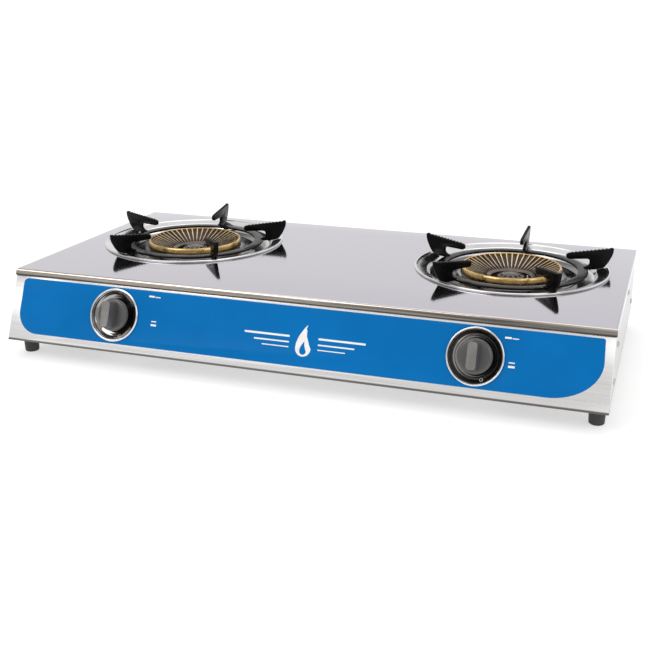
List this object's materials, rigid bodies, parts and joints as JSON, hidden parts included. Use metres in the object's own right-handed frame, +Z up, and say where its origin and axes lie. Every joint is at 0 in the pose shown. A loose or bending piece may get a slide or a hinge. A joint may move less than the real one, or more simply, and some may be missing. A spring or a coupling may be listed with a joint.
{
  "type": "camp stove",
  "caption": "Table-top gas camp stove with a stainless case, sloping blue front, brass burners set in drip pans, loose black pot supports and turning knobs.",
  "frame": {"origin": "on the table surface, under the centre of the stove's overall footprint", "axes": "+X to the user's right, +Y from the front to the back, +Z up"},
  "size_m": [0.712, 0.3962, 0.129],
  "materials": {
    "polished_steel": "mirror-polished stainless steel sheet",
    "case_steel": "bright satin stainless steel sheet",
    "blue_print": "smooth gloss blue printed panel with white marks",
    "bezel_chrome": "polished chrome",
    "knob_plastic": "satin dark grey moulded plastic",
    "black_enamel": "gloss black vitreous enamel",
    "cap_brass": "turned brass, a little heat-browned",
    "fitting_brass": "machined brass",
    "cast_iron": "sand-cast grey iron",
    "pan_steel": "pressed stainless steel, bright",
    "zinc_steel": "zinc-plated pressed steel",
    "gas_pipe": "drawn aluminium tube",
    "valve_metal": "die-cast alloy",
    "igniter_plastic": "moulded black plastic",
    "electrode_ceramic": "glazed white ceramic insulator with a steel tip",
    "lead_rubber": "silicone rubber sleeve, dark red",
    "spring_steel": "spring steel wire",
    "foot_rubber": "matt black rubber"
  },
  "bodies": {
    "base": {"back_panel": "case_steel", "burner_body_left": "cast_iron", "burner_body_right": "cast_iron", "burner_screws": "zinc_steel", "burner_support_left": "zinc_steel", "burner_support_right": "zinc_steel", "case_screws": "zinc_steel", "electrode_left": "electrode_ceramic", "electrode_right": "electrode_ceramic", "foot_front_left": "foot_rubber", "foot_front_right": "foot_rubber", "foot_rear_left": "foot_rubber", "foot_rear_right": "foot_rubber", "foot_screws": "zinc_steel", "front_fascia": "blue_print", "front_panel": "case_steel", "gas_rail": "gas_pipe", "igniter_left": "igniter_plastic", "igniter_right": "igniter_plastic", "ignition_lead_left": "lead_rubber", "ignition_lead_right": "lead_rubber", "inlet_fitting": "fitting_brass", "inlet_nut": "fitting_brass", "jet_left": "fitting_brass", "jet_right": "fitting_brass", "knob_bezel_left": "bezel_chrome", "knob_bezel_right": "bezel_chrome", "rail_brackets": "zinc_steel", "return_spring_left": "spring_steel", "return_spring_right": "spring_steel", "side_panel_left": "case_steel", "side_panel_right": "case_steel", "top_cover": "polished_steel", "valve_body_left": "valve_metal", "valve_body_right": "valve_metal"},
    "knob_push_left": {"push_collar_left": "zinc_steel"},
    "knob_turn_left": {"knob_left": "knob_plastic", "spindle_left": "fitting_brass"},
    "burner_cap_left": {"burner_cap_left": "cap_brass"},
    "center_cap_left": {"center_cap_left": "cap_brass"},
    "drip_pan_left": {"drip_pan_left": "pan_steel"},
    "pot_support_left": {"support_ring_left": "black_enamel", "support_arms_left": "black_enamel"},
    "air_shutter_left": {"air_shutter_left": "zinc_steel"},
    "knob_push_right": {"push_collar_right": "zinc_steel"},
    "knob_turn_right": {"knob_right": "knob_plastic", "spindle_right": "fitting_brass"},
    "burner_cap_right": {"burner_cap_right": "cap_brass"},
    "center_cap_right": {"center_cap_right": "cap_brass"},
    "drip_pan_right": {"drip_pan_right": "pan_steel"},
    "pot_support_right": {"support_ring_right": "black_enamel", "support_arms_right": "black_enamel"},
    "air_shutter_right": {"air_shutter_right": "zinc_steel"}
  },
  "joints": [
    {"name": "knob_left_push", "type": "slide", "parent": "base", "child": "knob_push_left", "axis": [0, 0.9349, -0.355], "range_m": [0, 0.003], "stiffness_N_per_m": 700, "springref_m": -0.002, "deforming": ["return_spring_left"]},
    {"name": "knob_left_turn", "type": "hinge", "parent": "knob_push_left", "child": "knob_turn_left", "pos_m": [-0.214, -0.17231, 0.06233], "axis": [0, -0.9349, 0.355], "range_deg": [0, 130]},
    {"name": "burner_cap_left_lift", "type": "slide", "parent": "base", "child": "burner_cap_left", "axis": [0, 0, 1], "range_m": [0, 0.06]},
    {"name": "center_cap_left_lift", "type": "slide", "parent": "base", "child": "center_cap_left", "axis": [0, 0, 1], "range_m": [0, 0.06]},
    {"name": "drip_pan_left_lift", "type": "slide", "parent": "base", "child": "drip_pan_left", "axis": [0, 0, 1], "range_m": [0, 0.06]},
    {"name": "pot_support_left_lift", "type": "slide", "parent": "drip_pan_left", "child": "pot_support_left", "axis": [0, 0, 1], "range_m": [0, 0.06]},
    {"name": "air_shutter_left_turn", "type": "hinge", "parent": "base", "child": "air_shutter_left", "pos_m": [-0.214, -0.10487, 0.0492], "axis": [0, 1, 0], "range_deg": [0, 60]},
    {"name": "knob_right_push", "type": "slide", "parent": "base", "child": "knob_push_right", "axis": [0, 0.9349, -0.355], "range_m": [0, 0.003], "stiffness_N_per_m": 700, "springref_m": -0.002, "deforming": ["return_spring_right"]},
    {"name": "knob_right_turn", "type": "hinge", "parent": "knob_push_right", "child": "knob_turn_right", "pos_m": [0.214, -0.17231, 0.06233], "axis": [0, -0.9349, 0.355], "range_deg": [0, 130]},
    {"name": "burner_cap_right_lift", "type": "slide", "parent": "base", "child": "burner_cap_right", "axis": [0, 0, 1], "range_m": [0, 0.06]},
    {"name": "center_cap_right_lift", "type": "slide", "parent": "base", "child": "center_cap_right", "axis": [0, 0, 1], "range_m": [0, 0.06]},
    {"name": "drip_pan_right_lift", "type": "slide", "parent": "base", "child": "drip_pan_right", "axis": [0, 0, 1], "range_m": [0, 0.06]},
    {"name": "pot_support_right_lift", "type": "slide", "parent": "drip_pan_right", "child": "pot_support_right", "axis": [0, 0, 1], "range_m": [0, 0.06]},
    {"name": "air_shutter_right_turn", "type": "hinge", "parent": "base", "child": "air_shutter_right", "pos_m": [0.214, -0.10487, 0.0492], "axis": [0, 1, 0], "range_deg": [0, 60]}
  ]
}
